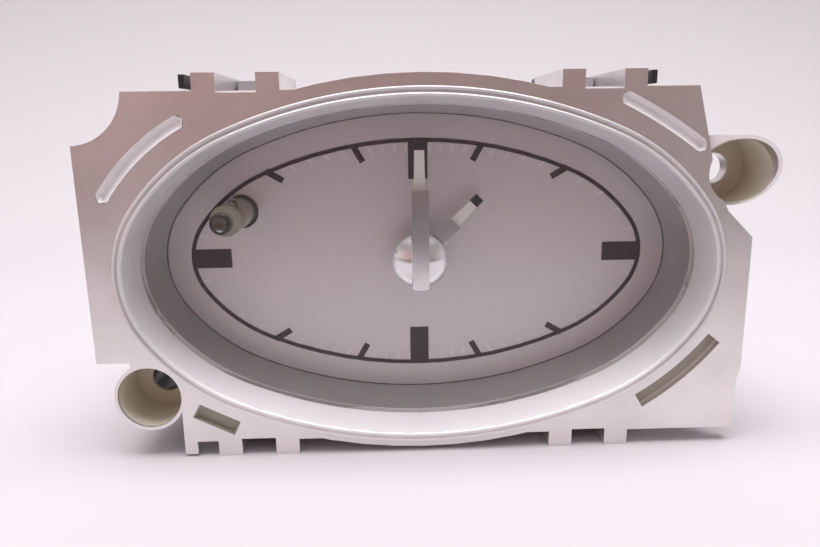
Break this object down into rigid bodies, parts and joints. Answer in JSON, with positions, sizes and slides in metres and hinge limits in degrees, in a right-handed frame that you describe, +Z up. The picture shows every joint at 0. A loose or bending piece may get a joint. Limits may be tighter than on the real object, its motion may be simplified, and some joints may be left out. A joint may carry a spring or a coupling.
{
  "type": "dashboard display unit",
  "caption": "Oval analogue clock module for a dashboard: flanged silver bezel, lens, grey dial, two hands, setting stem, quartz movement and black rear housing.",
  "frame": {"origin": "where the axis of the hands crosses the front face of the flange", "axes": "+X along the oval's long axis, to the right of the face as pictured; +Y back into the unit; +Z up as pictured, with the dial upside down"},
  "size_m": [0.1006, 0.0478, 0.057],
  "materials": {
    "silver_paint": "satin",
    "clear_plastic": "gloss",
    "smoke_plastic": "gloss",
    "dial_grey": "satin",
    "dark_ink": "matte",
    "hand_white": "satin",
    "bright_silver": "gloss",
    "white_plastic": "satin",
    "black_plastic": "satin",
    "steel": "satin",
    "brass": "satin",
    "copper_wire": "satin",
    "circuit_board": "satin",
    "lamp_glass": "gloss"
  },
  "bodies": {
    "case_body": {"front_bezel": "silver_paint", "lens": "clear_plastic", "inner_surround": "dial_grey", "dial": "dial_grey", "dial_marks": "dark_ink", "light_guide": "clear_plastic", "movement_front_plate": "white_plastic", "movement_case": "white_plastic", "movement_screws": "steel", "stator": "steel", "coil_bobbin": "white_plastic", "coil_winding": "copper_wire", "circuit_board": "circuit_board", "driver_chip": "black_plastic", "quartz_crystal": "steel", "capacitor": "black_plastic", "connector_pins": "brass", "rear_housing": "black_plastic", "stem_spring": "steel"},
    "minute_body": {"cannon_pinion": "white_plastic", "minute_hand": "hand_white", "minute_hand_cap": "bright_silver"},
    "hour_body": {"hour_wheel": "white_plastic", "hour_hand": "hand_white", "hour_hand_cap": "bright_silver"},
    "minute_wheel_body": {"minute_wheel": "white_plastic"},
    "setting_wheel_body": {"setting_wheel": "white_plastic"},
    "rotor_body": {"rotor_magnet": "steel", "rotor_pinion": "white_plastic"},
    "intermediate_body": {"intermediate_wheel": "white_plastic"},
    "third_body": {"third_wheel": "white_plastic"},
    "centre_body": {"centre_wheel": "white_plastic", "centre_arbor": "steel", "clutch_spring": "brass"},
    "stem_slider": {"stem_thrust_ring": "brass"},
    "stem_body": {"setting_stem": "smoke_plastic", "setting_pinion": "white_plastic"},
    "left_lamp_body": {"lamp_holder_left": "black_plastic", "lamp_left": "lamp_glass"},
    "right_lamp_body": {"lamp_holder_right": "black_plastic", "lamp_right": "lamp_glass"}
  },
  "joints": [
    {"name": "minute_hand_turn", "type": "hinge", "parent": "case_body", "child": "minute_body", "pos_m": [0, 0.0096, 0], "axis": [0, 1, 0], "continuous": true},
    {"name": "hour_hand_turn", "type": "hinge", "parent": "case_body", "child": "hour_body", "pos_m": [0, 0.0114, 0], "axis": [0, 1, 0], "continuous": true},
    {"name": "minute_wheel_turn", "type": "hinge", "parent": "case_body", "child": "minute_wheel_body", "pos_m": [-0.00678, 0.021, 0.00182], "axis": [0, 1, 0], "continuous": true},
    {"name": "setting_wheel_turn", "type": "hinge", "parent": "case_body", "child": "setting_wheel_body", "pos_m": [-0.01948, 0.021, 0.00522], "axis": [0, 1, 0], "continuous": true},
    {"name": "rotor_turn", "type": "hinge", "parent": "case_body", "child": "rotor_body", "pos_m": [0.02038, 0.0244, 0.00061], "axis": [0, 1, 0], "continuous": true},
    {"name": "intermediate_turn", "type": "hinge", "parent": "case_body", "child": "intermediate_body", "pos_m": [0.01757, 0.023, -0.00425], "axis": [0, 1, 0], "continuous": true},
    {"name": "third_turn", "type": "hinge", "parent": "case_body", "child": "third_body", "pos_m": [0.00918, 0.0235, -0.00573], "axis": [0, 1, 0], "continuous": true},
    {"name": "centre_turn", "type": "hinge", "parent": "case_body", "child": "centre_body", "pos_m": [0, 0.0225, 0], "axis": [0, 1, 0], "continuous": true},
    {"name": "knob_push", "type": "slide", "parent": "case_body", "child": "stem_slider", "axis": [0, 1, 0], "range_m": [0, 0.0015], "stiffness_N_per_m": 500, "springref_m": -0.001, "deforming": ["stem_spring"]},
    {"name": "knob_turn", "type": "hinge", "parent": "stem_slider", "child": "stem_body", "pos_m": [-0.02913, 0.01, 0.00781], "axis": [0, 1, 0], "continuous": true},
    {"name": "lamp_left_twist", "type": "hinge", "parent": "case_body", "child": "left_lamp_body", "pos_m": [-0.0376, 0.037, 0], "axis": [0, 1, 0], "range_deg": [0, 45]},
    {"name": "lamp_right_twist", "type": "hinge", "parent": "case_body", "child": "right_lamp_body", "pos_m": [0.0376, 0.037, 0], "axis": [0, 1, 0], "range_deg": [0, 45]}
  ],
  "couplings": [
    {"joint": "hour_hand_turn", "follows": "minute_hand_turn", "ratio": 0.083333},
    {"joint": "minute_wheel_turn", "follows": "minute_hand_turn", "ratio": -0.33333},
    {"joint": "setting_wheel_turn", "follows": "minute_hand_turn", "ratio": 0.22222},
    {"joint": "intermediate_turn", "follows": "rotor_turn", "ratio": -0.16667},
    {"joint": "third_turn", "follows": "rotor_turn", "ratio": 0.022222},
    {"joint": "centre_turn", "follows": "rotor_turn", "ratio": -0.0027778}
  ]
}
